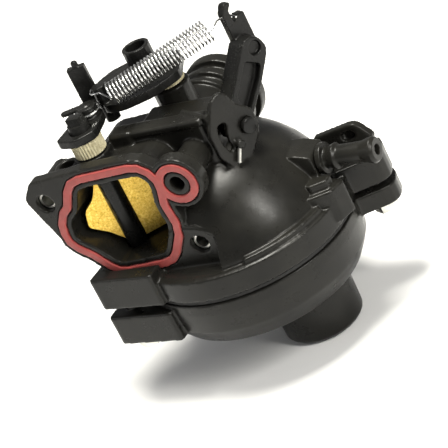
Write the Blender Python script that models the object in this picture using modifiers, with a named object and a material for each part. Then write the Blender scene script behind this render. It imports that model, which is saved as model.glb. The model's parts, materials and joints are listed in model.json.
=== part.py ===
"""Plastic-bodied float carburetor for a small engine, as separate named pieces.

Run with: blender --background --python part.py
World frame: the air-cleaner flange face is the plane y = 0 and faces -Y, +X is to its right,
+Z is up along the float bowl's axis, and the origin is in the middle of the throat opening.
Lengths in this file are millimetres and angles are degrees; MM turns lengths into metres.
"""
import math

import bmesh
import bpy
from mathutils import Matrix, Vector

MM = 0.001
GAP = 0.3                      # running and assembly clearance

# Air-cleaner flange and throat opening, corners as (x, z, fillet radius)
OPENING = [(-10.8, 11.6, 4), (16.0, 12.9, 4.2), (13.0, 1.6, 4), (13.8, -7.5, 4), (8.2, -16.2, 4),
           (-9.6, -17.4, 4), (-15.4, -10.4, 3), (-20.8, -6.0, 2.6), (-19.4, 0.4, 3), (-15.2, 3.4, 3)]
LEFT_EAR = [(-31.8, 10.5, 2.6), (-27.2, 16.4, 2.2), (-6, 18.2, 1), (-6, -8, 1), (-25, -9, 2)]
RIGHT_EAR = [(8, -6, 1), (22, -7.6, 3), (28.2, -10.5, 5), (28.2, -22.4, 1), (-16, -22.4, 1), (-16, -12, 1)]
FLANGE_THICK = 5.0
FLANGE_RIM = 6.2               # flange edge outside the opening
SEAL_INNER, SEAL_OUTER = 1.7, 5.0
GROOVE_DEPTH = 2.4
SEAL_PROUD = 0.4               # seal stands this far in front of the flange
VENT = (24.2, 7.8)             # vent hole centre (x, z)
VENT_BOSS_R, VENT_LOOP_R, VENT_LOOP_INNER, VENT_HOLE_R = 8.7, 7.0, 4.2, 2.4
STUDS = [(-24.8, 8.4), (21.5, -14.9)]
STUD_HOLE_R, STUD_TUBE_R = 3.2, 5.2
STUD_TUBE_BACKS, STUD_HOLE_BACKS = (18.0, 20.0), (19.0, 18.2)     # left is through, right is blind

# Throat: choke chamber, then the round bore to the engine
CHAMBER_BACK, CHAMBER_WALL, CHAMBER_END = 33.0, 2.3, 35.2
BORE_X, BORE_Z, BORE_R = 8.3, -1.0, 7.8
OUTLET_BACK = 70.0
NOZZLE_Y = 36.0                # main nozzle and its pillar, just behind the choke chamber

# Choke
CHOKE_X, CHOKE_Y = -7.8, 11.5
CHOKE_SHAFT_R = 3.4
CHOKE_REST = 32.0              # plate angle open from closed at rest
CHOKE_PLATE_THICK = 1.2
CHOKE_COLLAR_R, CHOKE_COLLAR_TOP = 6.2, 17.3
CHOKE_POST = (-7.9, 19.4)      # hub behind the choke shaft that the return spring wraps round

# Throttle
THROTTLE_X, THROTTLE_Y = BORE_X, 42.5
THROTTLE_SHAFT_R = 3.0
THROTTLE_REST = 78.0           # plate angle open from closed at rest
THROTTLE_BOSS_R, THROTTLE_BOSS_TOP = 6.4, 19.5
THROTTLE_LEVER_LOW, THROTTLE_LEVER_TOP = 23.3, 26.3
SPRING_POST = (-5.0, 26.0)
SPRING_POST_TOP, SPRING_LOOP_Z = 32.0, 30.9

# Float chamber and bowl
BOWL_X, BOWL_Y, BOWL_R = 18.5, 29.0, 37.5
DOME_X, DOME_CENTRE_Z, DOME_R, LEDGE_Z = 17.0, -30.0, 36.3, -22.4
BODY_RIM_Z, GASKET_THICK = -30.6, 1.0
BOWL_TOP = BODY_RIM_Z - GASKET_THICK - 2 * GAP
BOWL_FLOOR, SUMP_FLOOR = -50.0, -68.5
SUMP_X, SUMP_Y, SUMP_R = 31.6, 28.0, 13.5
BOWL_WALL = 2.2
LEFT_SCREW, RIGHT_SCREW = (-13.5, 0.5), (57.7, 49.5)
LEFT_LUG = [(-20.5, -5.6, 1.5), (4, -7.4, 1), (6, 12, 1), (-13, 12, 1), (-19, 4.5, 3)]
RIGHT_LUG = [(45, 35.4, 1), (66.0, 46.0, 5), (62.2, 57.0, 5), (39, 59, 1)]
LUG_TOP, LUG_BOTTOM, RIGHT_LUG_BOTTOM = -19.0, -44.6, -39.0
SCREW_R, HEAD_R, HEAD_HIGH = 2.0, 4.1, 3.6

# Speed-control lever, in the upright plane along LEVER_DIR through LEVER_BASE
LEVER_DIR = Vector((0.49, 0.872, 0.0)).normalized()
LEVER_NORMAL = Vector((LEVER_DIR.y, -LEVER_DIR.x, 0.0))
LEVER_BASE = Vector((31.0, 30.0, 2.0))
PIVOT_ALONG, PIVOT_UP = 0.4, 6.9
GUARD_LOW, GUARD_TOP = 7.0, 8.8     # guard plate, out of the lever's plane
LEVER_LOW, LEVER_TOP = -4.6, 2.8    # lever arm, out of its plane
STOP_PIN_OUT, STOP_PIN_R = 9.9, 0.65
LEVER_ARM = [(-3.4, 4.0, 2.5), (5.4, 3.6, 2), (14.9, 12.5, 4), (21.6, 20.4, 4), (19.6, 28, 4.2),
             (14.2, 26.6, 3), (2.9, 13.9, 2), (-3.4, 10.4, 2.5)]

# Governor spring
SPRING_START, SPRING_END = Vector((1.7, 21.1, 30.5)), Vector((31.0, 41.4, 35.5))
SPRING_R, SPRING_WIRE_R, SPRING_TURNS, SPRING_SIDES = 3.6, 0.36, 22, 7

# Fuel inlet
INLET_Y, INLET_Z = 34.0, -12.0
INLET_FOOT = [(44.6, 24.2, 0.5), (50.5, 20.3, 1), (57.4, 23.2, 1.5), (60.2, 29.4, 1.5), (50.4, 33.4, 0.5)]
INLET_STEP = [(46.4, 25.4, 0.5), (51.0, 22.8, 1), (56.4, 25.2, 1), (57.0, 28.9, 1), (46.8, 28.7, 0.5)]

MATERIALS = {
    "black_nylon": ((0.020, 0.020, 0.021), 0.0, 0.45),
    "silicone": ((0.32, 0.045, 0.035), 0.0, 0.5),
    "brass": ((0.72, 0.45, 0.10), 1.0, 0.35),
    "steel": ((0.62, 0.62, 0.62), 1.0, 0.25),
    "felt": ((0.62, 0.56, 0.36), 0.0, 0.9),
    "float_plastic": ((0.10, 0.10, 0.10), 0.0, 0.5),
    "rubber": ((0.02, 0.02, 0.02), 0.0, 0.7),
}


# ---------------------------------------------------------------- outlines
def rounded(corners, step=30.0):
    """A closed outline of (x, y, radius) corners, with each corner turned into an arc."""
    points = []
    count = len(corners)
    for i, (x, y, radius) in enumerate(corners):
        here = Vector((x, y))
        before = (Vector(corners[i - 1][:2]) - here).normalized()
        after = (Vector(corners[(i + 1) % count][:2]) - here).normalized()
        half = before.angle(after) / 2
        reach = radius / math.tan(half)
        centre = here + (before + after).normalized() * (radius / math.sin(half))
        start, end = here + before * reach - centre, here + after * reach - centre
        sweep = start.angle_signed(end)
        pieces = max(1, round(abs(math.degrees(sweep)) / step))
        for k in range(pieces + 1):
            turn = Matrix.Rotation(-sweep * k / pieces, 2)
            points.append(tuple(centre + turn @ start))
    return points


def circle(x, y, radius, sides=24):
    return [(x + radius * math.cos(2 * math.pi * k / sides), y + radius * math.sin(2 * math.pi * k / sides))
            for k in range(sides)]


def grown(corners, distance):
    """The corners of an outline moved out by a distance, with their radii changed to match."""
    count = len(corners)
    area = sum(corners[i - 1][0] * corners[i][1] - corners[i][0] * corners[i - 1][1] for i in range(count))
    side = -1.0 if area > 0 else 1.0
    moved = []
    for i, (x, y, radius) in enumerate(corners):
        here = Vector((x, y))
        along_in = (here - Vector(corners[i - 1][:2])).normalized()
        along_out = (Vector(corners[(i + 1) % count][:2]) - here).normalized()
        normal_in = Vector((-along_in.y, along_in.x)) * side
        normal_out = Vector((-along_out.y, along_out.x)) * side
        middle = (normal_in + normal_out).normalized()
        turn = along_in.cross(along_out) * side
        bulge = -1.0 if turn > 0 else 1.0
        point = here + middle * (distance / middle.dot(normal_in))
        moved.append((point.x, point.y, max(0.4, radius + bulge * distance)))
    return moved


def slotted(x, y, length, radius, angle, sides=8):
    """A straight slot with round ends, centred on (x, y)."""
    turn = math.radians(angle)
    points = []
    for end in (0, 1):
        for k in range(sides + 1):
            bend = turn + math.pi * (end - 0.5) + math.pi * k / sides
            reach = (0.5 - end) * length
            points.append((x + reach * math.cos(turn) + radius * math.cos(bend),
                           y + reach * math.sin(turn) + radius * math.sin(bend)))
    return points


# ---------------------------------------------------------------- solids
def new_object(name, mesh, owner):
    thing = bpy.data.objects.new(name, mesh)
    owner.objects.link(thing)
    return thing


def from_curve(name, curve, owner, matrix=None):
    """Turns a curve into a closed mesh object in the owner collection."""
    holder = bpy.data.objects.new(name + "_outline", curve)
    owner.objects.link(holder)
    if matrix is not None:
        holder.matrix_world = matrix
    bpy.context.view_layer.update()
    seen = holder.evaluated_get(bpy.context.evaluated_depsgraph_get())
    mesh = bpy.data.meshes.new_from_object(seen)
    work = bmesh.new()
    work.from_mesh(mesh)
    bmesh.ops.remove_doubles(work, verts=work.verts, dist=1e-6)
    bmesh.ops.recalc_face_normals(work, faces=work.faces)
    work.to_mesh(mesh)
    work.free()
    thing = new_object(name, mesh, owner)
    thing.matrix_world = holder.matrix_world.copy()
    bpy.data.objects.remove(holder)
    return thing


def plate(name, outlines, low, high, axis="Z", owner=None, matrix=None):
    """Extrudes flat outlines (inner ones are holes) from low to high along Z, or along Y from (x, z)."""
    curve = bpy.data.curves.new(name, "CURVE")
    curve.dimensions = "2D"
    curve.fill_mode = "BOTH"
    curve.extrude = (high - low) / 2 * MM
    for outline in outlines:
        spline = curve.splines.new("POLY")
        spline.points.add(len(outline) - 1)
        for point, (x, y) in zip(spline.points, outline):
            point.co = (x * MM, y * MM, 0, 1)
        spline.use_cyclic_u = True
    middle = (high + low) / 2 * MM
    if axis == "Y":
        place = Matrix.Translation((0, middle, 0)) @ Matrix.Rotation(math.radians(90), 4, "X")
    else:
        place = Matrix.Translation((0, 0, middle))
    if matrix is not None:
        place = matrix @ place
    return from_curve(name, curve, owner or TOOLS, place)


def rod(name, start, end, radius, end_radius=None, sides=16, owner=None):
    """A round bar or cone between two points."""
    start, end = Vector(start) * MM, Vector(end) * MM
    mesh = bpy.data.meshes.new(name)
    work = bmesh.new()
    bmesh.ops.create_cone(work, cap_ends=True, segments=sides, radius1=radius * MM,
                          radius2=(radius if end_radius is None else end_radius) * MM,
                          depth=(end - start).length)
    work.to_mesh(mesh)
    work.free()
    thing = new_object(name, mesh, owner or TOOLS)
    turn = Vector((0, 0, 1)).rotation_difference(end - start).to_matrix().to_4x4()
    thing.matrix_world = Matrix.Translation((start + end) / 2) @ turn
    return thing


def block(name, low, high, owner=None, bevel=0.0):
    low, high = Vector(low) * MM, Vector(high) * MM
    mesh = bpy.data.meshes.new(name)
    work = bmesh.new()
    bmesh.ops.create_cube(work, size=1.0)
    bmesh.ops.scale(work, vec=high - low, verts=work.verts)
    if bevel:
        bmesh.ops.bevel(work, geom=list(work.edges), offset=bevel * MM, segments=1, profile=0.5,
                        affect="EDGES")
    work.to_mesh(mesh)
    work.free()
    thing = new_object(name, mesh, owner or TOOLS)
    thing.location = (low + high) / 2
    return thing


def turned(name, profile, centre, steps=28, owner=None, axis="Z"):
    """Turns a closed (radius, height) profile about an axis through centre."""
    mesh = bpy.data.meshes.new(name)
    work = bmesh.new()
    area = sum(profile[i - 1][0] * profile[i][1] - profile[i][0] * profile[i - 1][1]
               for i in range(len(profile)))
    if area > 0:
        profile = profile[::-1]
    points = [work.verts.new((radius * MM, 0, height * MM)) for radius, height in profile]
    closed = min(radius for radius, height in profile) > 0.001
    for i in range(len(points) - (0 if closed else 1)):
        work.edges.new((points[i], points[(i + 1) % len(points)]))
    work.to_mesh(mesh)
    work.free()
    thing = new_object(name, mesh, owner or TOOLS)
    screw = thing.modifiers.new("turn", "SCREW")
    screw.axis = "Z"
    screw.angle = 2 * math.pi
    screw.steps = screw.render_steps = steps
    screw.use_merge_vertices = True
    screw.merge_threshold = 0.00001
    bpy.context.view_layer.update()
    seen = thing.evaluated_get(bpy.context.evaluated_depsgraph_get())
    thing.data = bpy.data.meshes.new_from_object(seen)
    thing.modifiers.clear()
    if axis == "Y":
        thing.rotation_euler = (math.radians(-90), 0, 0)
    if axis == "X":
        thing.rotation_euler = (0, math.radians(90), 0)
    thing.location = Vector(centre) * MM
    return thing


def wire(name, points, radius, owner, resolution=2):
    """A round wire through points, with closed ends."""
    curve = bpy.data.curves.new(name, "CURVE")
    curve.dimensions = "3D"
    curve.bevel_depth = radius * MM
    curve.bevel_resolution = resolution
    curve.use_fill_caps = True
    spline = curve.splines.new("POLY")
    spline.points.add(len(points) - 1)
    for point, place in zip(spline.points, points):
        point.co = (*(Vector(place) * MM), 1)
    return from_curve(name, curve, owner)


def boolean(thing, tool, operation):
    change = thing.modifiers.new(tool.name, "BOOLEAN")
    change.operation = operation
    change.solver = "EXACT"
    change.object = tool
    tool.display_type = "WIRE"
    tool.hide_render = True


def join(thing, *tools):
    for tool in tools:
        boolean(thing, tool, "UNION")


def cut(thing, *tools):
    for tool in tools:
        boolean(thing, tool, "DIFFERENCE")


def finish(thing, material, origin=None):
    """Gives a node its material and puts its origin on its joint axis."""
    colour, metallic, roughness = MATERIALS[material]
    look = bpy.data.materials.new(thing.name + "_" + material)
    look.use_nodes = True
    shader = look.node_tree.nodes["Principled BSDF"]
    shader.inputs["Base Color"].default_value = (*colour, 1.0)
    shader.inputs["Metallic"].default_value = metallic
    shader.inputs["Roughness"].default_value = roughness
    thing.data.materials.append(look)
    bpy.context.view_layer.update()
    if origin is not None:
        place = Matrix.Translation(Vector(origin) * MM)
        thing.data.transform(place.inverted() @ thing.matrix_world)
        thing.matrix_world = place
    thing.data.shade_smooth()
    thing.data.set_sharp_from_angle(angle=math.radians(35))
    return thing


def lever_frame():
    """Local x runs along the speed lever's plane, local y is up, local z is the plane's normal."""
    frame = Matrix((LEVER_DIR, Vector((0, 0, 1)), LEVER_NORMAL)).transposed().to_4x4()
    return Matrix.Translation(LEVER_BASE * MM) @ frame


def lever_point(along, up, out):
    """A world point from distances along, above and out of the speed lever's plane."""
    return LEVER_BASE + LEVER_DIR * along + Vector((0, 0, up)) + LEVER_NORMAL * out


# ---------------------------------------------------------------- body
def main_body():
    """The flange pads stand at different heights, and one cut then makes their common front face."""
    body = plate("main_body", [rounded(grown(OPENING, FLANGE_RIM))], -2.5, FLANGE_THICK, "Y", PARTS)
    join(body,
         plate("vent_pad", [circle(*VENT, VENT_BOSS_R)], -2.0, FLANGE_THICK - 0.2, "Y"),
         plate("left_ear", [rounded(LEFT_EAR)], -1.5, FLANGE_THICK - 0.4, "Y"),
         plate("right_ear", [rounded(RIGHT_EAR)], -1.0, FLANGE_THICK + 0.2, "Y"))
    cut(body, block("flange_face", (-50, -20, -50), (50, 0, 50)))
    join(body, plate("chamber", [rounded(grown(OPENING, CHAMBER_WALL))], 3, CHAMBER_END, "Y"))
    for side, (x, z), back in zip(("left", "right"), STUDS, STUD_TUBE_BACKS):
        join(body, rod(side + "_stud_tube", (x, 3, z), (x, back, z), STUD_TUBE_R))
    join(body,
         rod("ear_barrel", (-16.6, 8.6, 6), (-16.6, 8.6, 16.2), 4.2),
         rod("vent_tube", (VENT[0], 3, VENT[1]), (VENT[0], 24, VENT[1]), 5.6, 4.6),
         rod("choke_collar", (CHOKE_X, CHOKE_Y, 8), (CHOKE_X, CHOKE_Y, CHOKE_COLLAR_TOP), CHOKE_COLLAR_R),
         rod("choke_foot", (CHOKE_X, CHOKE_Y, -22.6), (CHOKE_X, CHOKE_Y, -17), 5.6))
    add_top_box(body)
    add_outlet(body)
    add_dome(body)
    add_control_guard(body)
    add_fuel_block(body)
    cut_body(body)
    return finish(body, "black_nylon", (0, 0, 0))


def add_top_box(body):
    """The housing over the throat, its top ledge, and the block that stops the throttle lever."""
    join(body,
         block("top_box", (4, 17, -4), (29.5, 34, 17.2), bevel=1.0),
         block("top_ledge", (3.2, 16.2, 16.4), (30.2, 22.8, 18.8), bevel=0.5),
         block("stop_block", (-3.6, 15.6, 11), (4.6, 22.4, 19.2), bevel=0.8))


def add_outlet(body):
    """The round outlet with its rings and O-ring groove, and the throttle shaft's boss."""
    profile = [(0.0, 30), (12.2, 30), (12.2, 53.9), (13.3, 53.9), (13.3, 56.1), (11.8, 56.1), (11.8, 58.9),
               (13.3, 58.9), (13.3, 61.9), (11.6, 61.9), (11.6, 65.1), (13.9, 65.1), (13.9, 69.5),
               (13.4, OUTLET_BACK), (0.0, OUTLET_BACK)]
    tube = turned("outlet_tube", profile, (BORE_X, 0, BORE_Z), axis="Y")
    join(body, tube,
         rod("throttle_boss", (THROTTLE_X, THROTTLE_Y, 4), (THROTTLE_X, THROTTLE_Y, THROTTLE_BOSS_TOP),
             THROTTLE_BOSS_R),
         rod("throttle_foot", (THROTTLE_X, THROTTLE_Y, -17.5), (THROTTLE_X, THROTTLE_Y, -9), 5.0))


def add_dome(body):
    """The float chamber's domed cover, its ledge, rim, lugs and upright bracket."""
    outer = [(DOME_R * math.cos(math.radians(a)), DOME_CENTRE_Z + DOME_R * math.sin(math.radians(a)))
             for a in (90, 76, 62, 47, 32, 15)]
    inner = [((DOME_R - 2.6) * math.cos(math.radians(a)),
              DOME_CENTRE_Z + (DOME_R - 2.6) * math.sin(math.radians(a))) for a in (12, 48, 90)]
    outer[0] = (0.0, outer[0][1])
    inner[-1] = (0.0, inner[-1][1])
    foot = [(DOME_R, DOME_CENTRE_Z), (DOME_R - 2.6, DOME_CENTRE_Z)]
    dome = turned("dome", outer + foot + inner, (DOME_X, BOWL_Y, 0), steps=40)
    cut(dome, block("flange_clearance", (-40, -30, LEDGE_Z), (27.9, 0, 12)))
    front = [(BOWL_X + (BOWL_R - 1) * math.cos(math.radians(a)),
              BOWL_Y + (BOWL_R - 1) * math.sin(math.radians(a))) for a in range(-140, -39, 10)]
    rail = [(BOWL_X + radius * math.cos(math.radians(a)), BOWL_Y + radius * math.sin(math.radians(a)))
            for radius, turns in ((36.3, range(-62, -13, 6)), (33.2, range(-14, -63, -6))) for a in turns]
    join(body, dome,
         plate("foot_rail", [rail], LEDGE_Z - 1.2, LEDGE_Z + 1.7),
         plate("rim", [circle(BOWL_X, BOWL_Y, BOWL_R, 44), circle(BOWL_X, BOWL_Y, BOWL_R - 4.5, 24)],
               BODY_RIM_Z - 2, LEDGE_Z - 0.5),
         plate("ledge_web", [front], -25.4, LEDGE_Z - 0.2),
         plate("left_lug", [rounded(LEFT_LUG)], BODY_RIM_Z - 3, LUG_TOP),
         plate("right_lug", [rounded(RIGHT_LUG)], BODY_RIM_Z - 4, LUG_TOP - 2))
    bracket = rounded([(44, -24, 1), (62.5, -24, 1), (64.5, -15, 2), (60, -9.4, 3.5), (44, -12.6, 1)])
    join(body, plate("bracket", [bracket], 47.6, 50.4, "Y"))
    cut(body, plate("bracket_slot", [slotted(56.4, -13.8, 2.2, 1.5, 20)], 47.0, 49.4, "Y"))
    cut(body,
        block("rim_face", (-60, -60, -70), (90, 90, BODY_RIM_Z)),
        plate("chamber_hollow", [circle(BOWL_X, BOWL_Y, BOWL_R - 3.0, 36)], -40, -28.4))
    join(body,
         rod("jet_pillar", (BORE_X, NOZZLE_Y, -41), (BORE_X, NOZZLE_Y, -8), 4.0),
         rod("needle_pillar", (41.5, INLET_Y, -27), (41.5, INLET_Y, -12), 4.6),
         block("pin_ear_front", (45, 27.6, -34.4), (49.6, 29.6, -22)),
         block("pin_ear_rear", (45, 38.4, -34.4), (49.6, 40.0, -22)))


def add_control_guard(body):
    """The shield outside the speed lever, the lever's pocket and pivot boss, and the stop pin's lug."""
    guard = rounded([(-7.9, 20.0, 2), (-2.6, 22.0, 2.5), (0.4, 14.6, 4), (4.6, 10.6, 4), (4.4, 3.2, 4),
                     (-1.5, -2.6, 4), (-9.1, -3.7, 2.5), (-12.4, 3.0, 4), (-12.6, 11.6, 3)])
    slot = rounded([(-9.0, 12.4, 1), (-9.9, 7.6, 5), (-8.6, 2.8, 1), (-6.6, 2.9, 1), (-7.4, 7.4, 5),
                    (-5.2, 12.2, 1)])
    wall = [(-11.2, 17.0), (-9.8, 17.6), (-9.8, -3.4), (-11.2, -1.0)]
    frame = lever_frame()
    cut(body, plate("lever_pocket", [rounded(grown(LEVER_ARM, 1.6))], -6.2, 3.4, matrix=frame))
    join(body,
         plate("guard", [guard, slot], GUARD_LOW, GUARD_TOP, matrix=frame),
         plate("guard_wall", [wall], -6, GUARD_LOW + 1, matrix=frame),
         rod("pivot_boss", lever_point(PIVOT_ALONG, PIVOT_UP, -12), lever_point(PIVOT_ALONG, PIVOT_UP, -4.9),
             4.0),
         rod("stop_pin_lug", lever_point(-5.2, 3.9, GUARD_LOW + 1),
             lever_point(-5.2, 3.9, STOP_PIN_OUT + 1.6), 1.5, sides=14))


def add_fuel_block(body):
    """The angular block that holds the fuel inlet, and its pillar down to the rim."""
    side = rounded([(37, -20.3, 1), (52.5, -20.3, 1), (52.5, -8.2, 1), (47, -6.6, 2), (40, -6.2, 1),
                    (34.3, -12, 1)])
    join(body,
         plate("fuel_block", [side], INLET_Y - 5.5, INLET_Y + 5.3, "Y"),
         block("fuel_pillar", (44.5, INLET_Y - 7.5, -28.2), (51, INLET_Y + 2, -16), bevel=0.8),
         plate("inlet_foot", [rounded(INLET_FOOT)], -28.7, -17.7),
         plate("inlet_step", [rounded(INLET_STEP)], -18.3, -14.8))


def cut_body(body):
    """Bores, holes and grooves."""
    groove = plate("seal_groove", [rounded(grown(OPENING, SEAL_OUTER)), rounded(grown(OPENING, SEAL_INNER))],
                   -1, GROOVE_DEPTH, "Y")
    loop = plate("seal_groove_loop", [circle(*VENT, VENT_LOOP_R + GAP), circle(*VENT, VENT_LOOP_INNER)],
                 -1, GROOVE_DEPTH, "Y")
    rim = plate("opening_keep", [rounded(grown(OPENING, SEAL_INNER))], -2, 4, "Y")
    cut(loop, rim)
    cut(body, groove, loop,
        plate("throat", [rounded(OPENING)], -1, CHAMBER_BACK, "Y"),
        rod("bore", (BORE_X, 30, BORE_Z), (BORE_X, OUTLET_BACK + 2, BORE_Z), BORE_R, sides=40),
        rod("vent_hole", (VENT[0], -1, VENT[1]), (VENT[0], 20, VENT[1]), VENT_HOLE_R),
        rod("choke_bore", (CHOKE_X, CHOKE_Y, -21), (CHOKE_X, CHOKE_Y, 25), CHOKE_SHAFT_R + GAP),
        rod("throttle_bore", (THROTTLE_X, THROTTLE_Y, -15), (THROTTLE_X, THROTTLE_Y, 25),
            THROTTLE_SHAFT_R + GAP),
        rod("barrel_hole", (-16.6, 8.6, 8.5), (-16.6, 8.6, 18), 2.7),
        rod("nozzle_hole", (BORE_X, NOZZLE_Y, -45), (BORE_X, NOZZLE_Y, 0), 2.3),
        rod("seat_hole", (41.5, INLET_Y, -30), (41.5, INLET_Y, -12), 3.0),
        rod("fuel_hole", (41.5, INLET_Y, INLET_Z), (60, INLET_Y, INLET_Z), 3.1),
        rod("pin_hole", (47.6, 20, -31.4), (47.6, 45, -31.4), 0.9, sides=12),
        rod("pivot_hole", lever_point(PIVOT_ALONG, PIVOT_UP, -11), lever_point(PIVOT_ALONG, PIVOT_UP, 12),
            2.0 + GAP),
        rod("stop_pin_hole", lever_point(-4.2, 5.7, STOP_PIN_OUT), lever_point(-8.8, -2.4, STOP_PIN_OUT),
            STOP_PIN_R + GAP, sides=12))
    for side, (x, z), back in zip(("left", "right"), STUDS, STUD_HOLE_BACKS):
        cut(body, rod(side + "_stud_hole", (x, -1, z), (x, back, z), STUD_HOLE_R))
    for side, (x, y) in (("left", LEFT_SCREW), ("right", RIGHT_SCREW)):
        cut(body, rod(side + "_screw_hole", (x, y, -40), (x, y, -22), SCREW_R + GAP))


# ---------------------------------------------------------------- flange fittings
def flange_seal():
    """The seal round the opening and the smaller loop round the vent, which meet in one ring."""
    seal = plate("flange_seal", [rounded(grown(OPENING, SEAL_OUTER - GAP)),
                                 rounded(grown(OPENING, SEAL_INNER + GAP))],
                 -SEAL_PROUD, GROOVE_DEPTH - GAP, "Y", PARTS)
    loop = plate("loop", [circle(*VENT, VENT_LOOP_R), circle(*VENT, VENT_LOOP_INNER + GAP)],
                 -SEAL_PROUD + 0.05, GROOVE_DEPTH - GAP - 0.05, "Y")
    cut(loop, plate("seal_middle", [rounded(grown(OPENING, (SEAL_INNER + SEAL_OUTER) / 2))], -2, 4, "Y"))
    join(seal, loop)
    cut(seal, plate("loop_hole", [circle(*VENT, VENT_LOOP_INNER + GAP + 0.01)], -2, 4, "Y"))
    return finish(seal, "silicone", (0, 0, 0))


def mounting_sleeves():
    for side, (x, z) in zip(("left", "right"), STUDS):
        profile = [(2.9, 17.6), (2.9, 2.0), (2.2, 2.0), (2.2, 17.6)]
        sleeve = turned("mounting_sleeve_" + side, profile, (x, 0, z), 24, PARTS, "Y")
        finish(sleeve, "steel")


def fuel_inlet_fitting():
    profile = [(1.7, 30.5), (3.6, 30.5), (4.3, 29.5), (3.4, 25.5), (3.4, 17.5), (4.3, 16.5), (3.4, 14.0),
               (3.4, 12.8), (5.0, 12.8), (5.0, 11.0), (2.8, 11.0), (2.8, 1.0), (1.7, 1.0)]
    start = (42.0, INLET_Y, INLET_Z)
    return finish(turned("fuel_inlet_fitting", profile, start, 24, PARTS, "X"), "black_nylon")


# ---------------------------------------------------------------- bowl
def float_bowl():
    r = BOWL_R - 0.4
    profile = [(r - BOWL_WALL, BOWL_TOP), (r, BOWL_TOP), (r, -36), (r - 0.8, -43.4), (r - 2.2, -46),
               (r - 5, BOWL_FLOOR), (0.0, BOWL_FLOOR)]
    inside = [(0.0, BOWL_FLOOR + BOWL_WALL), (r - 6, BOWL_FLOOR + BOWL_WALL),
              (r - BOWL_WALL - 0.8, BOWL_FLOOR + BOWL_WALL + 2.5)]
    shape = [(0.0, BOWL_FLOOR + BOWL_WALL)] + inside[1:] + profile
    bowl = turned("float_bowl", shape, (BOWL_X, BOWL_Y, 0), 44, PARTS)
    sump = [(0.0, BOWL_FLOOR + 1), (SUMP_R + 0.4, BOWL_FLOOR + 1), (SUMP_R, SUMP_FLOOR + 1.4),
            (SUMP_R - 1.4, SUMP_FLOOR), (0.0, SUMP_FLOOR)]
    join(bowl, turned("sump", sump, (SUMP_X, SUMP_Y, 0), 28),
         plate("bowl_lug_left", [rounded(LEFT_LUG)], LUG_BOTTOM, BOWL_TOP - 1.6),
         plate("bowl_lug_right", [rounded(RIGHT_LUG)], RIGHT_LUG_BOTTOM, BOWL_TOP - 0.4))
    cut(bowl,
        rod("sump_hollow", (SUMP_X, SUMP_Y, SUMP_FLOOR + BOWL_WALL), (SUMP_X, SUMP_Y, -40), SUMP_R - 2.4,
            sides=32),
        plate("bowl_hollow", [circle(BOWL_X, BOWL_Y, r - BOWL_WALL - 1.4, 44)], BOWL_FLOOR + 4.9, -20))
    for side, (x, y) in (("left", LEFT_SCREW), ("right", RIGHT_SCREW)):
        cut(bowl, rod(side + "_bowl_hole", (x, y, -60), (x, y, -25), SCREW_R + GAP))
    return finish(bowl, "black_nylon", (BOWL_X, BOWL_Y, 0))


def bowl_gasket():
    ring = [circle(BOWL_X, BOWL_Y, BOWL_R - 0.9, 44), circle(BOWL_X, BOWL_Y, BOWL_R - 3.0, 44)]
    top = BODY_RIM_Z - GAP
    return finish(plate("bowl_gasket", ring, top - GASKET_THICK, top, "Z", PARTS), "rubber")


def bowl_screws():
    for name, (x, y), seat in (("bowl_screw_front", LEFT_SCREW, LUG_BOTTOM),
                               ("bowl_screw_rear", RIGHT_SCREW, RIGHT_LUG_BOTTOM)):
        top = seat - GAP
        screw = rod(name, (x, y, top - HEAD_HIGH), (x, y, top), HEAD_R, sides=6, owner=PARTS)
        join(screw, rod(name + "_shank", (x, y, top - 1), (x, y, -23), SCREW_R, sides=16))
        finish(screw, "steel", (x, y, top))


# ---------------------------------------------------------------- fuel metering
def float_and_needle():
    ring = turned("float", [(14.2, -32.4), (26.0, -32.4), (26.0, -40.5), (14.2, -40.5)],
                  (14.2, BOWL_Y, 0), 40, PARTS)
    join(ring,
         block("float_arm", (38, 30.2, -34.2), (49.4, 37.8, -32.6)),
         block("float_web", (35, 25.0, -38), (40.4, 37.8, -32.6)),
         rod("float_knuckle", (47.6, 30.2, -31.4), (47.6, 37.8, -31.4), 2.2, sides=16))
    cut(ring, rod("float_pin_hole", (47.6, 25, -31.4), (47.6, 45, -31.4), 0.9, sides=12))
    finish(ring, "float_plastic", (47.6, 34, -31.4))
    finish(rod("float_pin", (47.6, 27.0, -31.4), (47.6, 41.0, -31.4), 0.6, sides=12, owner=PARTS),
           "steel", (47.6, 34, -31.4))
    seat = [(1.3, -15.4), (2.7, -15.4), (2.7, -23.0), (2.0, -23.0), (2.0, -17.8), (1.3, -17.0)]
    finish(turned("needle_seat", seat, (41.5, INLET_Y, 0), 24, PARTS), "brass")
    needle = [(0.0, -15.6), (0.9, -16.6), (1.6, -18.6), (1.6, -31.9), (0.6, -32.3), (0.0, -32.3)]
    finish(turned("inlet_needle", needle, (41.5, INLET_Y, 0), 20, PARTS), "brass")


def jets():
    nozzle = [(0.9, -7.4), (2.0, -7.4), (2.0, -36.0), (0.9, -36.0)]
    finish(turned("main_nozzle", nozzle, (BORE_X, NOZZLE_Y, 0), 20, PARTS), "brass")
    jet = [(0.7, -36.6), (2.0, -36.6), (2.0, -41.4), (3.4, -41.4), (3.4, -43.4), (0.7, -43.4)]
    finish(turned("main_jet", jet, (BORE_X, NOZZLE_Y, 0), 20, PARTS), "brass")


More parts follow.
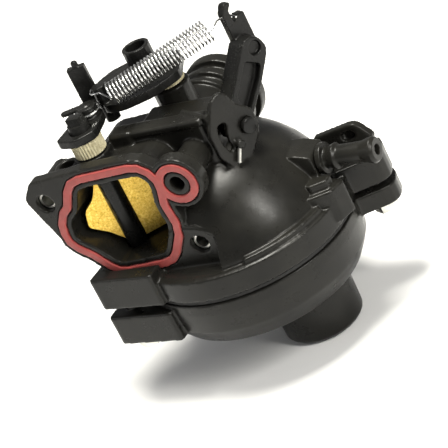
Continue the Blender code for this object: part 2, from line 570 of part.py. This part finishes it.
# ---------------------------------------------------------------- choke
def choke():
    axis = (CHOKE_X, CHOKE_Y, 0)
    turn = (Matrix.Translation(Vector(axis) * MM) @ Matrix.Rotation(math.radians(CHOKE_REST), 4, "Z")
            @ Matrix.Translation(Vector(axis) * -MM))
    shaft = rod("choke_shaft", (CHOKE_X, CHOKE_Y, -20.4), (CHOKE_X, CHOKE_Y, 28.2), CHOKE_SHAFT_R,
                owner=PARTS)
    slot = block("shaft_slot", (CHOKE_X - 6, CHOKE_Y - 0.9, -17.2), (CHOKE_X + 6, CHOKE_Y + 0.9, 12.0))
    slot.matrix_world = turn @ Matrix.Translation(((Vector(axis) - Vector((0, 0, 2.6))) * MM))
    cut(shaft, slot)
    join(shaft, block("shaft_key", (CHOKE_X - 2.4, CHOKE_Y - 1.7, 27.6),
                      (CHOKE_X + 2.4, CHOKE_Y + 1.7, 30.6)))
    finish(shaft, "black_nylon", axis)
    disc = plate("choke_plate", [rounded(grown(OPENING, -0.9))], CHOKE_Y - CHOKE_PLATE_THICK / 2,
                 CHOKE_Y + CHOKE_PLATE_THICK / 2, "Y", PARTS)
    finish(disc, "brass", axis)
    disc.rotation_euler = (0, 0, math.radians(CHOKE_REST))
    seal = [(CHOKE_SHAFT_R + GAP, 17.6), (5.3, 17.6), (5.3, 22.9), (CHOKE_SHAFT_R + GAP, 22.9)]
    finish(turned("choke_shaft_seal", seal, (*axis[:2], 0), 32, PARTS), "felt", None)
    choke_lever(axis)


def choke_lever(axis):
    """The lever on top of the choke shaft, with its hub, its finger and the return spring's loop."""
    shape = rounded([(-14.6, 6.2, 1.6), (-7.0, 4.4, 4), (-1.4, 9, 3), (-2.6, 17, 4), (-4.4, 23.0, 3),
                     (-11.6, 23.0, 3), (-13.6, 17, 4)])
    lever = plate("choke_lever", [shape], 23.2, 25.9, "Z", PARTS)
    join(lever,
         rod("choke_hub", (*CHOKE_POST, 25), (*CHOKE_POST, 29.4), 3.4),
         plate("choke_finger", [slotted(-11.2, 18.1, 7.0, 1.3, 22)], 28.7, 29.8))
    cut(lever, rod("choke_lever_bore", (*axis[:2], 22), (*axis[:2], 30), CHOKE_SHAFT_R + GAP))
    finish(lever, "black_nylon", axis)
    loop = [(CHOKE_POST[0] + 4.1 * math.cos(math.radians(a)),
             CHOKE_POST[1] + 4.1 * math.sin(math.radians(a)), 27.6) for a in range(-170, 106, 15)]
    finish(wire("choke_return_spring", loop, 0.4, PARTS, 1), "steel", axis)


# ---------------------------------------------------------------- throttle
def throttle():
    axis = (THROTTLE_X, THROTTLE_Y, 0)
    shaft = rod("throttle_shaft", (*axis[:2], -14.5), (*axis[:2], 27.6), THROTTLE_SHAFT_R, owner=PARTS)
    slot = block("throttle_slot", (-8, -0.8, BORE_Z - 7.8), (8, 0.8, BORE_Z + 7.8))
    slot.matrix_world = (Matrix.Translation(Vector((*axis[:2], BORE_Z)) * MM)
                         @ Matrix.Rotation(math.radians(THROTTLE_REST), 4, "Z"))
    cut(shaft, slot)
    finish(shaft, "black_nylon", axis)
    centre = (THROTTLE_X, THROTTLE_Y, BORE_Z)
    disc = rod("throttle_plate", (THROTTLE_X, THROTTLE_Y - 0.5, BORE_Z),
               (THROTTLE_X, THROTTLE_Y + 0.5, BORE_Z), BORE_R - 0.4, sides=40, owner=PARTS)
    finish(disc, "brass", centre)
    disc.rotation_euler = (0, 0, math.radians(THROTTLE_REST))
    seal = [(THROTTLE_SHAFT_R + GAP, 19.8), (5.4, 19.8), (5.4, 23.0), (THROTTLE_SHAFT_R + GAP, 23.0)]
    finish(turned("throttle_shaft_seal", seal, (*axis[:2], 0), 28, PARTS), "felt")
    throttle_lever(axis)


def throttle_lever(axis):
    """The lever on top of the throttle shaft, with its spring post, upright tab, cup and hub."""
    shape = rounded([(17.6, 37, 4), (11.6, 27.6, 6), (2.5, 22.4, 4), (-3.5, 22.8, 3), (-7.8, 25.5, 3),
                     (-14.6, 28, 1.5), (-15, 33, 3), (-14.6, 40, 4), (-12.0, 45.5, 4), (-2, 53.0, 5),
                     (12, 51.5, 7)])
    lever = plate("throttle_lever", [shape], THROTTLE_LEVER_LOW, THROTTLE_LEVER_TOP, "Z", PARTS)
    tab = [(-14.1, 26.9), (-8.5, 28.7), (-9.3, 31.1), (-14.9, 29.3)]
    join(lever,
         rod("spring_post", (*SPRING_POST, 19.6), (*SPRING_POST, SPRING_POST_TOP), 2.4),
         plate("tab", [tab], 25, 38.5),
         block("tab_nib", (-12.4, 28.0, 37.6), (-10.4, 29.8, 40.6), bevel=0.4),
         rod("lever_cup", (-0.4, 46.8, 25), (-0.4, 46.8, 32.6), 4.7),
         rod("lever_hub", (*axis[:2], 25), (*axis[:2], 28.6), 5.0))
    cut(lever,
        rod("cup_hole", (-0.4, 46.8, 24.8), (-0.4, 46.8, 34), 3.4),
        rod("lever_bore", (*axis[:2], 20), (*axis[:2], 27.9), THROTTLE_SHAFT_R + GAP))
    return finish(lever, "black_nylon", axis)


# ---------------------------------------------------------------- governor control
def governor_spring():
    """A close-wound spring from the throttle lever's post to the speed lever's fork."""
    axis = (SPRING_END - SPRING_START).normalized()
    side = axis.cross(Vector((0, 0, 1))).normalized()
    over = side.cross(axis)
    length = (SPRING_END - SPRING_START).length
    post = Vector((*SPRING_POST, SPRING_LOOP_Z))
    points = [post + Vector((math.cos(math.radians(a)), math.sin(math.radians(a)), 0)) * 3.1
              for a in range(60, 300, 24)]
    steps = SPRING_TURNS * SPRING_SIDES
    for k in range(steps + 1):
        angle = 2 * math.pi * k / SPRING_SIDES
        points.append(SPRING_START + axis * (length * k / steps)
                      + (side * math.cos(angle) + over * math.sin(angle)) * SPRING_R)
    points += [lever_point(14, 33.9, -5.9), lever_point(18.2, 33.9, -5.9), lever_point(18.2, 33.4, -0.9)]
    return finish(wire("governor_spring", points, SPRING_WIRE_R, PARTS, 0), "steel")


def speed_lever():
    """The chunky control arm, its forked tab for the governor spring, its pivot pin and its stop pin."""
    frame = lever_frame()
    pivot = lever_point(PIVOT_ALONG, PIVOT_UP, 0)
    lever = plate("speed_lever", [rounded(LEVER_ARM)], LEVER_LOW, LEVER_TOP, "Z", PARTS, frame)
    recess = rounded([(5.2, 5.4, 1), (14.0, 13.6, 2), (17.0, 17.6, 1), (12.2, 21.2, 1), (4.6, 12.8, 1.5)])
    tab = rounded([(14.7, 22, 0.5), (22, 22, 0.5), (22, 33.2, 0.6), (19.2, 33.6, 0.4), (18.9, 32.0, 0.4),
                   (17.5, 32.0, 0.4), (17.3, 36.0, 0.6), (19.2, 38.2, 0.5), (16.6, 38.9, 1), (14.7, 36, 1)])
    join(lever,
         plate("fork_tab", [tab], -5.0, -2.0, matrix=frame),
         rod("lever_hub", lever_point(PIVOT_ALONG, PIVOT_UP, 2), lever_point(PIVOT_ALONG, PIVOT_UP, 6.6),
             3.6))
    cut(lever,
        plate("arm_recess", [recess], 0.4, 4, matrix=frame),
        rod("head_recess", lever_point(17.5, 23.1, 1.4), lever_point(17.5, 23.1, 4), 2.3, sides=16),
        rod("lever_pivot_hole", lever_point(PIVOT_ALONG, PIVOT_UP, -6), lever_point(PIVOT_ALONG, PIVOT_UP, 8),
            2.0 + GAP))
    finish(lever, "black_nylon", pivot)
    head = GUARD_TOP + GAP
    pin = rod("lever_pivot_pin", lever_point(PIVOT_ALONG, PIVOT_UP, -10.6),
              lever_point(PIVOT_ALONG, PIVOT_UP, head + 0.5), 2.0, owner=PARTS)
    join(pin, rod("pivot_head", lever_point(PIVOT_ALONG, PIVOT_UP, head),
                  lever_point(PIVOT_ALONG, PIVOT_UP, head + 1.6), 2.6))
    finish(pin, "black_nylon", pivot)
    finish(rod("speed_stop_pin", lever_point(-4.7, 4.8, STOP_PIN_OUT), lever_point(-8.1, -1.2, STOP_PIN_OUT),
               STOP_PIN_R, sides=12, owner=PARTS), "steel")


# ---------------------------------------------------------------- assembly
def clear_scene():
    for thing in list(bpy.data.objects):
        bpy.data.objects.remove(thing, do_unlink=True)


def new_collection(name):
    group = bpy.data.collections.new(name)
    bpy.context.scene.collection.children.link(group)
    return group


clear_scene()
PARTS = new_collection("carburetor")
TOOLS = new_collection("carburetor_cutters")
main_body()
flange_seal()
mounting_sleeves()
fuel_inlet_fitting()
float_bowl()
bowl_gasket()
bowl_screws()
float_and_needle()
jets()
choke()
throttle()
governor_spring()
speed_lever()
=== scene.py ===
"""Looks for a plastic-bodied small-engine carburetor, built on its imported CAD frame.

Moulded pieces are remeshed copies of their CAD nodes, so their edges get the soft radius of moulded nylon.
The springs, felt washers and screws are finer pieces in the same place, and the rest are CAD nodes repainted.
Piece dimensions below are millimetres, MM turns them into metres, and lights are placed in metres.
"""
import json
import math

import bmesh
import bpy
import numpy as np
from mathutils import Matrix, Vector


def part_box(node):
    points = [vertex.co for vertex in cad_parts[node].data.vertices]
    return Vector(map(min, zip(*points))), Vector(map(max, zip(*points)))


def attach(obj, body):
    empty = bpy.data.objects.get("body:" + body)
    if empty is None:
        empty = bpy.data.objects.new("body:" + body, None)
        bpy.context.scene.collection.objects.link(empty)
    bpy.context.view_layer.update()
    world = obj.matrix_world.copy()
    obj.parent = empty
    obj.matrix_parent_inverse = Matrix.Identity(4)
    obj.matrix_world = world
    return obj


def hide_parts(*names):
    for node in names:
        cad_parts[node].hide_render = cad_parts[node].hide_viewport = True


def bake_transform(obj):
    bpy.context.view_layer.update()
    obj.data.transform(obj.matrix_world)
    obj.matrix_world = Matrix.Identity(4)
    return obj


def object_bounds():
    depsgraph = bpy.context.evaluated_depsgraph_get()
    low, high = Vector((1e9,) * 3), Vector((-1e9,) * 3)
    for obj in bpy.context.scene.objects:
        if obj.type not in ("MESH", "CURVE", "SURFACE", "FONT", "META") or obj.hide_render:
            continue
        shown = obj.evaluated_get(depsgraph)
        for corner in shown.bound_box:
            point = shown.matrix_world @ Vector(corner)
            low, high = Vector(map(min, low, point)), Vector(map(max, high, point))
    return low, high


MM = 0.001

# Camera, and the soft light of the surroundings
AZIMUTH, ELEVATION, ROLL = 36.0, 27.0, 27.0
CAMERA_DISTANCE = 700 * MM
FRAME_WIDTH = 137.846 * MM             # width of the view at the target
SENSOR = 36.0
WORLD_LIGHT = 0.28
TARGET = Vector((26.1, 9.6, -14.9)) * MM

# Places that the CAD fixes, in millimetres
SPRING_POST, SPRING_LOOP_Z, SPRING_LOOP_R = (-5.0, 26.0), 30.9, 3.1
SPRING_START, SPRING_END = Vector((1.7, 21.1, 30.5)), Vector((31.0, 41.4, 35.5))
COIL_R, WIRE_R, TURNS, COIL_SIDES = 3.62, 0.33, 30, 20
DOME_CENTRE, DOME_R = (17.0, 29.0, -30.0), 36.3
BOWL_AXIS, SUMP_AXIS, OUTLET_AXIS = (18.5, 29.0), (31.6, 28.0), (8.3, -1.0)
OUTLET_BANDS = ((46.0, 53.5, 12.2), (54.2, 55.8, 13.3), (59.2, 61.6, 13.3), (65.5, 69.2, 13.9))
LEVER_BASE = Vector((31.0, 30.0, 2.0))
LEVER_DIR = Vector((0.49, 0.872, 0.0)).normalized()
LEVER_NORMAL = Vector((LEVER_DIR.y, -LEVER_DIR.x, 0.0))

WELD = 0.002 * MM                      # split vertices closer than this are joined
BOX_MARGIN = 0.001 * MM                # moulded pieces stay this far inside the CAD's box
FELT_WALL, FELT_EDGE = 1.55 * MM, 0.2 * MM

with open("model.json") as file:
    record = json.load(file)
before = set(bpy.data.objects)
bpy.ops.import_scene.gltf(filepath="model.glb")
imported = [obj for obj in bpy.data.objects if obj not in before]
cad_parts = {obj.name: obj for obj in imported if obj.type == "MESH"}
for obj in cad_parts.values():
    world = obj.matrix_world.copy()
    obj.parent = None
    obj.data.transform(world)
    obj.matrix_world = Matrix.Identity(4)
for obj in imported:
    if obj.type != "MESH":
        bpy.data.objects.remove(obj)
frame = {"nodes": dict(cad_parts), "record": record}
cad_low, cad_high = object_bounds()


# ---------------------------------------------------------------- materials
class Look:
    """A small helper round one material's node tree."""

    def __init__(self, name):
        self.material = bpy.data.materials.new(name)
        self.material.use_nodes = True
        self.tree = self.material.node_tree
        self.shader = self.tree.nodes["Principled BSDF"]
        self.place = self.tree.nodes.new("ShaderNodeTexCoord").outputs["Object"]

    def set(self, **values):
        for key, value in values.items():
            self.shader.inputs[key.replace("_", " ")].default_value = value

    def noise(self, scale, detail=4.0, rough=0.5, stretch=None):
        node = self.tree.nodes.new("ShaderNodeTexNoise")
        node.inputs["Scale"].default_value = scale
        node.inputs["Detail"].default_value = detail
        node.inputs["Roughness"].default_value = rough
        source = self.place
        if stretch:
            mapping = self.tree.nodes.new("ShaderNodeMapping")
            mapping.inputs["Scale"].default_value = stretch
            self.tree.links.new(source, mapping.inputs["Vector"])
            source = mapping.outputs["Vector"]
        self.tree.links.new(source, node.inputs["Vector"])
        return node.outputs["Fac"]

    def ramp(self, factor, stops):
        node = self.tree.nodes.new("ShaderNodeValToRGB")
        elements = node.color_ramp.elements
        while len(elements) < len(stops):
            elements.new(0.5)
        for element, (place, colour) in zip(elements, stops):
            element.position = place
            element.color = (*colour, 1.0)
        self.tree.links.new(factor, node.inputs["Fac"])
        return node.outputs["Color"]

    def spread(self, factor, low, high, start=0.3, end=0.7):
        node = self.tree.nodes.new("ShaderNodeMapRange")
        node.inputs["From Min"].default_value = start
        node.inputs["From Max"].default_value = end
        node.inputs["To Min"].default_value = low
        node.inputs["To Max"].default_value = high
        self.tree.links.new(factor, node.inputs["Value"])
        return node.outputs["Result"]

    def link(self, output, name):
        self.tree.links.new(output, self.shader.inputs[name])

    def bump(self, layers):
        """Stacks (height output, strength, distance) layers into the shader's normal."""
        normal = None
        for height, strength, distance in layers:
            node = self.tree.nodes.new("ShaderNodeBump")
            node.inputs["Strength"].default_value = strength
            node.inputs["Distance"].default_value = distance
            self.tree.links.new(height, node.inputs["Height"])
            if normal is not None:
                self.tree.links.new(normal, node.inputs["Normal"])
            normal = node.outputs["Normal"]
        self.link(normal, "Normal")


def nylon(name, dark, light, smooth=0.36, rough=0.52, grain=0.35):
    """Glass-filled black nylon: fine grain, faint flow marks and patches of wear in its gloss."""
    look = Look(name)
    patches = look.noise(70, 5, 0.6)
    look.link(look.ramp(patches, [(0.3, dark), (0.75, light)]), "Base Color")
    look.link(look.spread(look.noise(190, 6, 0.65), smooth, rough), "Roughness")
    look.set(Specular_IOR_Level=0.18)
    look.bump([(look.noise(2600, 3, 0.6), grain, 0.00006), (look.noise(160, 3, 0.5), 0.12, 0.0003)])
    return look.material


def silicone():
    look = Look("red_silicone_look")
    look.link(look.ramp(look.noise(220, 5, 0.6), [(0.3, (0.215, 0.020, 0.017)), (0.7, (0.31, 0.034, 0.027))]),
              "Base Color")
    look.link(look.spread(look.noise(500, 4), 0.42, 0.62), "Roughness")
    look.set(Sheen_Weight=0.15)
    look.bump([(look.noise(2200, 3), 0.25, 0.00005)])
    return look.material


def brass():
    """Stamped brass sheet with a granular, slightly tarnished face."""
    look = Look("brass_look")
    speckle = look.noise(1500, 8, 0.75)
    look.link(look.ramp(speckle, [(0.30, (0.36, 0.20, 0.025)), (0.47, (0.78, 0.50, 0.07)),
                                  (0.62, (0.98, 0.74, 0.20))]), "Base Color")
    look.link(look.spread(look.noise(900, 6, 0.7), 0.34, 0.62), "Roughness")
    look.set(Metallic=0.72)
    look.bump([(speckle, 0.35, 0.00008), (look.noise(140, 3), 0.15, 0.0004)])
    return look.material


def steel(name, tint, low, high, scratches=True):
    look = Look(name)
    look.link(look.ramp(look.noise(260, 5, 0.6), [(0.3, tuple(c * 0.78 for c in tint)), (0.7, tint)]),
              "Base Color")
    look.link(look.spread(look.noise(420, 6, 0.65), low, high), "Roughness")
    look.set(Metallic=1.0)
    if scratches:
        look.bump([(look.noise(900, 4, 0.6, (1, 1, 0.08)), 0.2, 0.00004)])
    return look.material


def felt():
    look = Look("felt_look")
    look.link(look.ramp(look.noise(900, 6, 0.7), [(0.3, (0.40, 0.34, 0.19)), (0.65, (0.72, 0.66, 0.44))]),
              "Base Color")
    look.set(Roughness=0.95, Sheen_Weight=0.4)
    look.bump([(look.noise(2400, 5, 0.7), 0.7, 0.0002)])
    return look.material


BLACK = nylon("black_nylon_look", (0.0058, 0.0056, 0.0050), (0.0125, 0.0120, 0.0100), 0.24, 0.38, 0.3)
LEVER_BLACK = nylon("lever_nylon_look", (0.0048, 0.0048, 0.0046), (0.010, 0.0098, 0.009), 0.22, 0.34, 0.2)
RED = silicone()
BRASS = brass()
ZINC = steel("zinc_look", (0.62, 0.61, 0.57), 0.24, 0.46)
SPRING = steel("spring_look", (0.78, 0.78, 0.77), 0.14, 0.28, False)
FELT = felt()
RUBBER = nylon("rubber_look", (0.012, 0.012, 0.012), (0.022, 0.022, 0.022), 0.55, 0.75)
FLOAT_LOOK = nylon("float_look", (0.06, 0.06, 0.058), (0.10, 0.10, 0.095), 0.45, 0.6)


# ---------------------------------------------------------------- pieces
def body_of(node):
    return next(b for b, names in frame["record"]["behaviour"]["bodies"].items() if node in names)


def hand_over(piece, node, material, *more_nodes):
    """The piece takes the node's place: it gets the material, joins the node's body, and the node is hidden.
    """
    piece.data.materials.clear()
    piece.data.materials.append(material)
    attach(piece, body_of(node))
    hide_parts(node, *more_nodes)
    return piece


def welded_copy(node, name):
    """A copy of a CAD node's mesh with its split vertices joined again."""
    mesh = frame["nodes"][node].data.copy()
    mesh.name = name
    work = bmesh.new()
    work.from_mesh(mesh)
    bmesh.ops.remove_doubles(work, verts=work.verts, dist=WELD)
    work.to_mesh(mesh)
    work.free()
    piece = bpy.data.objects.new(name, mesh)
    bpy.context.scene.collection.objects.link(piece)
    return piece


def apply_all(piece):
    """Swaps a piece's mesh for the one its modifiers make."""
    bpy.context.view_layer.update()
    seen = piece.evaluated_get(bpy.context.evaluated_depsgraph_get())
    piece.data = bpy.data.meshes.new_from_object(seen)
    piece.modifiers.clear()


def true_sphere(points, centre, radius, lowest, reach=0.62):
    """Moves points that lie just inside a ball's faceted surface out to its true radius."""
    away = points - np.array(centre)
    far = np.linalg.norm(away, axis=1)
    near = (far > radius - reach) & (far < radius + 0.06) & (points[:, 2] > lowest)
    points[near] = np.array(centre) + away[near] / far[near, None] * radius


def true_turning(points, centre, heights, radii, reach=0.2, height_axis=2):
    """Moves points near the side of a faceted turned shape out to its true radius at their height."""
    flat = [axis for axis in range(3) if axis != height_axis]
    away = points[:, flat] - np.array(centre)
    far = np.linalg.norm(away, axis=1)
    height = points[:, height_axis]
    wanted = np.interp(height, heights, radii)
    near = (np.abs(far - wanted) < reach) & (height > heights[0]) & (height < heights[-1])
    points[np.ix_(near, flat)] = np.array(centre) + away[near] / far[near, None] * wanted[near, None]


def round_body(points):
    true_sphere(points, DOME_CENTRE, DOME_R, -21.8)
    true_turning(points, BOWL_AXIS, (-30.5, -23.0), (37.48, 37.48))
    for low, high, radius in OUTLET_BANDS:
        true_turning(points, OUTLET_AXIS, (low, high), (radius, radius), 0.12, 1)


def round_bowl(points):
    true_turning(points, BOWL_AXIS, (-49.9, -46.0, -43.4, -36.0, -32.3), (32.2, 34.9, 36.3, 37.08, 37.08))
    true_turning(points, SUMP_AXIS, (-67.0, -50.2), (13.5, 13.88))


def keep_inside(piece):
    """Clips a piece to just inside the CAD's bounding box."""
    points = np.empty(len(piece.data.vertices) * 3)
    piece.data.vertices.foreach_get("co", points)
    points = np.clip(points.reshape(-1, 3), np.array(cad_low) + BOX_MARGIN, np.array(cad_high) - BOX_MARGIN)
    piece.data.vertices.foreach_set("co", points.ravel())


def moulded(node, voxel, passes, material, true_up=None):
    """A CAD node remeshed and relaxed, so that its sharp edges become small fillets."""
    piece = welded_copy(node, node + "_moulded")
    remesh = piece.modifiers.new("remesh", "REMESH")
    remesh.mode = "VOXEL"
    remesh.voxel_size = voxel * MM
    apply_all(piece)
    if true_up:
        points = np.empty(len(piece.data.vertices) * 3)
        piece.data.vertices.foreach_get("co", points)
        points = points.reshape(-1, 3) / MM
        true_up(points)
        piece.data.vertices.foreach_set("co", (points * MM).ravel())
    relax = piece.modifiers.new("relax", "SMOOTH")
    relax.factor = 0.5
    relax.iterations = passes
    apply_all(piece)
    keep_inside(piece)
    piece.data.shade_smooth()
    return hand_over(piece, node, material)


def chamfered(node, width, material):
    """A CAD node with its edges bevelled by a small width."""
    piece = welded_copy(node, node + "_edged")
    bevel = piece.modifiers.new("bevel", "BEVEL")
    bevel.width = width * MM
    bevel.segments = 2
    bevel.limit_method = "ANGLE"
    bevel.angle_limit = math.radians(35)
    apply_all(piece)
    piece.data.shade_smooth()
    piece.data.set_sharp_from_angle(angle=math.radians(50))
    return hand_over(piece, node, material)


def wire(name, points, radius, resolution=3):
    """A round wire mesh through points given in millimetres."""
    curve = bpy.data.curves.new(name, "CURVE")
    curve.dimensions = "3D"
    curve.bevel_depth = radius * MM
    curve.bevel_resolution = resolution
    curve.use_fill_caps = True
    spline = curve.splines.new("POLY")
    spline.points.add(len(points) - 1)
    for point, place in zip(spline.points, points):
        point.co = (*(Vector(place) * MM), 1)
    holder = bpy.data.objects.new(name + "_curve", curve)
    bpy.context.scene.collection.objects.link(holder)
    bpy.context.view_layer.update()
    mesh = bpy.data.meshes.new_from_object(holder.evaluated_get(bpy.context.evaluated_depsgraph_get()))
    bpy.data.objects.remove(holder)
    mesh.shade_smooth()
    piece = bpy.data.objects.new(name, mesh)
    bpy.context.scene.collection.objects.link(piece)
    return piece


def lever_point(along, up, out):
    return LEVER_BASE + LEVER_DIR * along + Vector((0, 0, up)) + LEVER_NORMAL * out


def governor_spring():
    """A fine coil in two halves split at its middle: one half starts in a loop round the post, the other ends
    in a hook at the lever.
    """
    axis = (SPRING_END - SPRING_START).normalized()
    side = axis.cross(Vector((0, 0, 1))).normalized()
    over = side.cross(axis)
    length = (SPRING_END - SPRING_START).length
    steps = TURNS * COIL_SIDES
    coil = []
    for k in range(steps + 1):
        angle = 2 * math.pi * k / COIL_SIDES
        coil.append(SPRING_START + axis * (length * k / steps)
                    + (side * math.cos(angle) + over * math.sin(angle)) * COIL_R)
    post = Vector((*SPRING_POST, SPRING_LOOP_Z))
    loop = [post + Vector((math.cos(math.radians(a)), math.sin(math.radians(a)), 0)) * SPRING_LOOP_R
            for a in range(60, 301, 12)]
    bend = lever_point(18.2, 33.9, -5.9)
    hook = [lever_point(14, 33.9, -5.9), bend, lever_point(18.2, 33.4, -0.9)]
    middle = steps // 2
    left = wire("governor_spring_left", loop + coil[:middle + 1], WIRE_R)
    right = wire("governor_spring_right", coil[middle:] + hook, WIRE_R)
    for piece, moving, far in ((left, "throttle", post * MM), (right, "speed", bend * MM)):
        piece.data.materials.append(SPRING)
        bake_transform(piece)
        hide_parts("governor_spring")


def ribbed_felt(node, name, ribs=34, depth=0.35):
    """The felt washer with upright ribs all round its outer side."""
    low, high = (Vector(corner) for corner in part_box(node))
    centre = (low + high) / 2
    outer = (high.x - low.x) / 2
    inner = outer - FELT_WALL
    mesh = bpy.data.meshes.new(name)
    work = bmesh.new()
    count = ribs * 6
    rings = []
    for radius, z, ribbed in ((inner, low.z, 0), (outer, low.z + FELT_EDGE, 1),
                              (outer, high.z - FELT_EDGE, 1), (inner, high.z, 0)):
        ring = []
        for k in range(count):
            angle = 2 * math.pi * k / count
            reach = radius - ribbed * depth * MM * (0.5 + 0.5 * math.cos(angle * ribs))
            place = (centre.x + reach * math.cos(angle), centre.y + reach * math.sin(angle), z)
            ring.append(work.verts.new(place))
        rings.append(ring)
    for i, ring in enumerate(rings):
        following = rings[(i + 1) % len(rings)]
        for k in range(count):
            work.faces.new((ring[k], ring[(k + 1) % count], following[(k + 1) % count], following[k]))
    bmesh.ops.recalc_face_normals(work, faces=work.faces)
    work.to_mesh(mesh)
    work.free()
    mesh.shade_smooth()
    mesh.set_sharp_from_angle(angle=math.radians(60))
    piece = bpy.data.objects.new(name, mesh)
    bpy.context.scene.collection.objects.link(piece)
    return hand_over(piece, node, FELT)


def repaint(node, material):
    thing = frame["nodes"][node]
    thing.data.materials.clear()
    thing.data.materials.append(material)


moulded("main_body", 0.42, 3, BLACK, round_body)
moulded("float_bowl", 0.45, 4, BLACK, round_bowl)
moulded("fuel_inlet_fitting", 0.25, 3, BLACK)
for lever in ("choke_lever", "throttle_lever", "speed_lever"):
    moulded(lever, 0.25, 3, LEVER_BLACK)
moulded("flange_seal", 0.22, 4, RED)
for screw in ("bowl_screw_front", "bowl_screw_rear"):
    chamfered(screw, 0.25, ZINC)
chamfered("lever_pivot_pin", 0.25, LEVER_BLACK)
chamfered("choke_shaft", 0.3, LEVER_BLACK)
ribbed_felt("choke_shaft_seal", "choke_felt_ribbed")
ribbed_felt("throttle_shaft_seal", "throttle_felt_ribbed")
governor_spring()
for node, material in (("mounting_sleeve_left", ZINC), ("mounting_sleeve_right", ZINC),
                       ("bowl_gasket", RUBBER), ("float", FLOAT_LOOK), ("float_pin", ZINC),
                       ("needle_seat", BRASS), ("inlet_needle", BRASS), ("main_nozzle", BRASS),
                       ("main_jet", BRASS), ("choke_plate", BRASS), ("choke_return_spring", SPRING),
                       ("throttle_shaft", LEVER_BLACK), ("throttle_plate", BRASS),
                       ("speed_stop_pin", ZINC)):
    repaint(node, material)


# ---------------------------------------------------------------- stage, light and camera
def stage():
    bpy.ops.mesh.primitive_plane_add(size=6, location=(0, 0, cad_low[2] - 0.0002))
    floor = bpy.context.active_object
    floor.name = "floor"
    look = Look("floor_look")
    pale = look.ramp(look.noise(3, 3), [(0.3, (0.79, 0.79, 0.79)), (0.7, (0.81, 0.81, 0.81))])
    look.link(pale, "Base Color")
    look.set(Roughness=0.9, Specular_IOR_Level=0.1)
    floor.data.materials.append(look.material)


def softbox(name, place, aim, size, power, colour=(1, 1, 1)):
    light = bpy.data.lights.new(name, "AREA")
    light.shape = "RECTANGLE"
    light.size, light.size_y = size
    light.energy = power
    light.color = colour
    lamp = bpy.data.objects.new(name, light)
    lamp.location = place
    lamp.rotation_euler = (Vector(aim) - Vector(place)).to_track_quat("-Z", "Y").to_euler()
    bpy.context.scene.collection.objects.link(lamp)


def lighting():
    world = bpy.data.worlds.new("studio")
    world.use_nodes = True
    world.node_tree.nodes["Background"].inputs["Color"].default_value = (1, 1, 1, 1)
    world.node_tree.nodes["Background"].inputs["Strength"].default_value = WORLD_LIGHT
    bpy.context.scene.world = world
    softbox("top", (0.05, 0.05, 0.65), (0.02, 0.02, 0), (0.26, 0.24), 11.0, (1.0, 0.98, 0.90))
    softbox("right", (0.55, -0.15, 0.35), (0.02, 0.02, -0.02), (0.10, 0.35), 4.2, (1.0, 0.98, 0.92))
    softbox("left", (-0.45, -0.35, 0.25), (0.0, 0.02, -0.01), (0.25, 0.25), 0.6)


def camera():
    a, e, roll = (math.radians(v) for v in (AZIMUTH, ELEVATION, ROLL))
    back = Vector((math.sin(a) * math.cos(e), -math.cos(a) * math.cos(e), math.sin(e)))
    level = Vector((math.cos(a), math.sin(a), 0.0))
    upright = back.cross(level)
    right = level * math.cos(roll) - upright * math.sin(roll)
    up = level * math.sin(roll) + upright * math.cos(roll)
    data = bpy.data.cameras.new("camera")
    data.sensor_width = SENSOR
    data.lens = SENSOR * CAMERA_DISTANCE / FRAME_WIDTH
    data.clip_start = 0.01
    holder = bpy.data.objects.new("camera", data)
    turn = Matrix((right, up, back)).transposed().to_4x4()
    holder.matrix_world = Matrix.Translation(TARGET + back * CAMERA_DISTANCE) @ turn
    bpy.context.scene.collection.objects.link(holder)
    bpy.context.scene.camera = holder


bpy.context.scene.view_settings.view_transform = "Standard"
stage()
lighting()
camera()
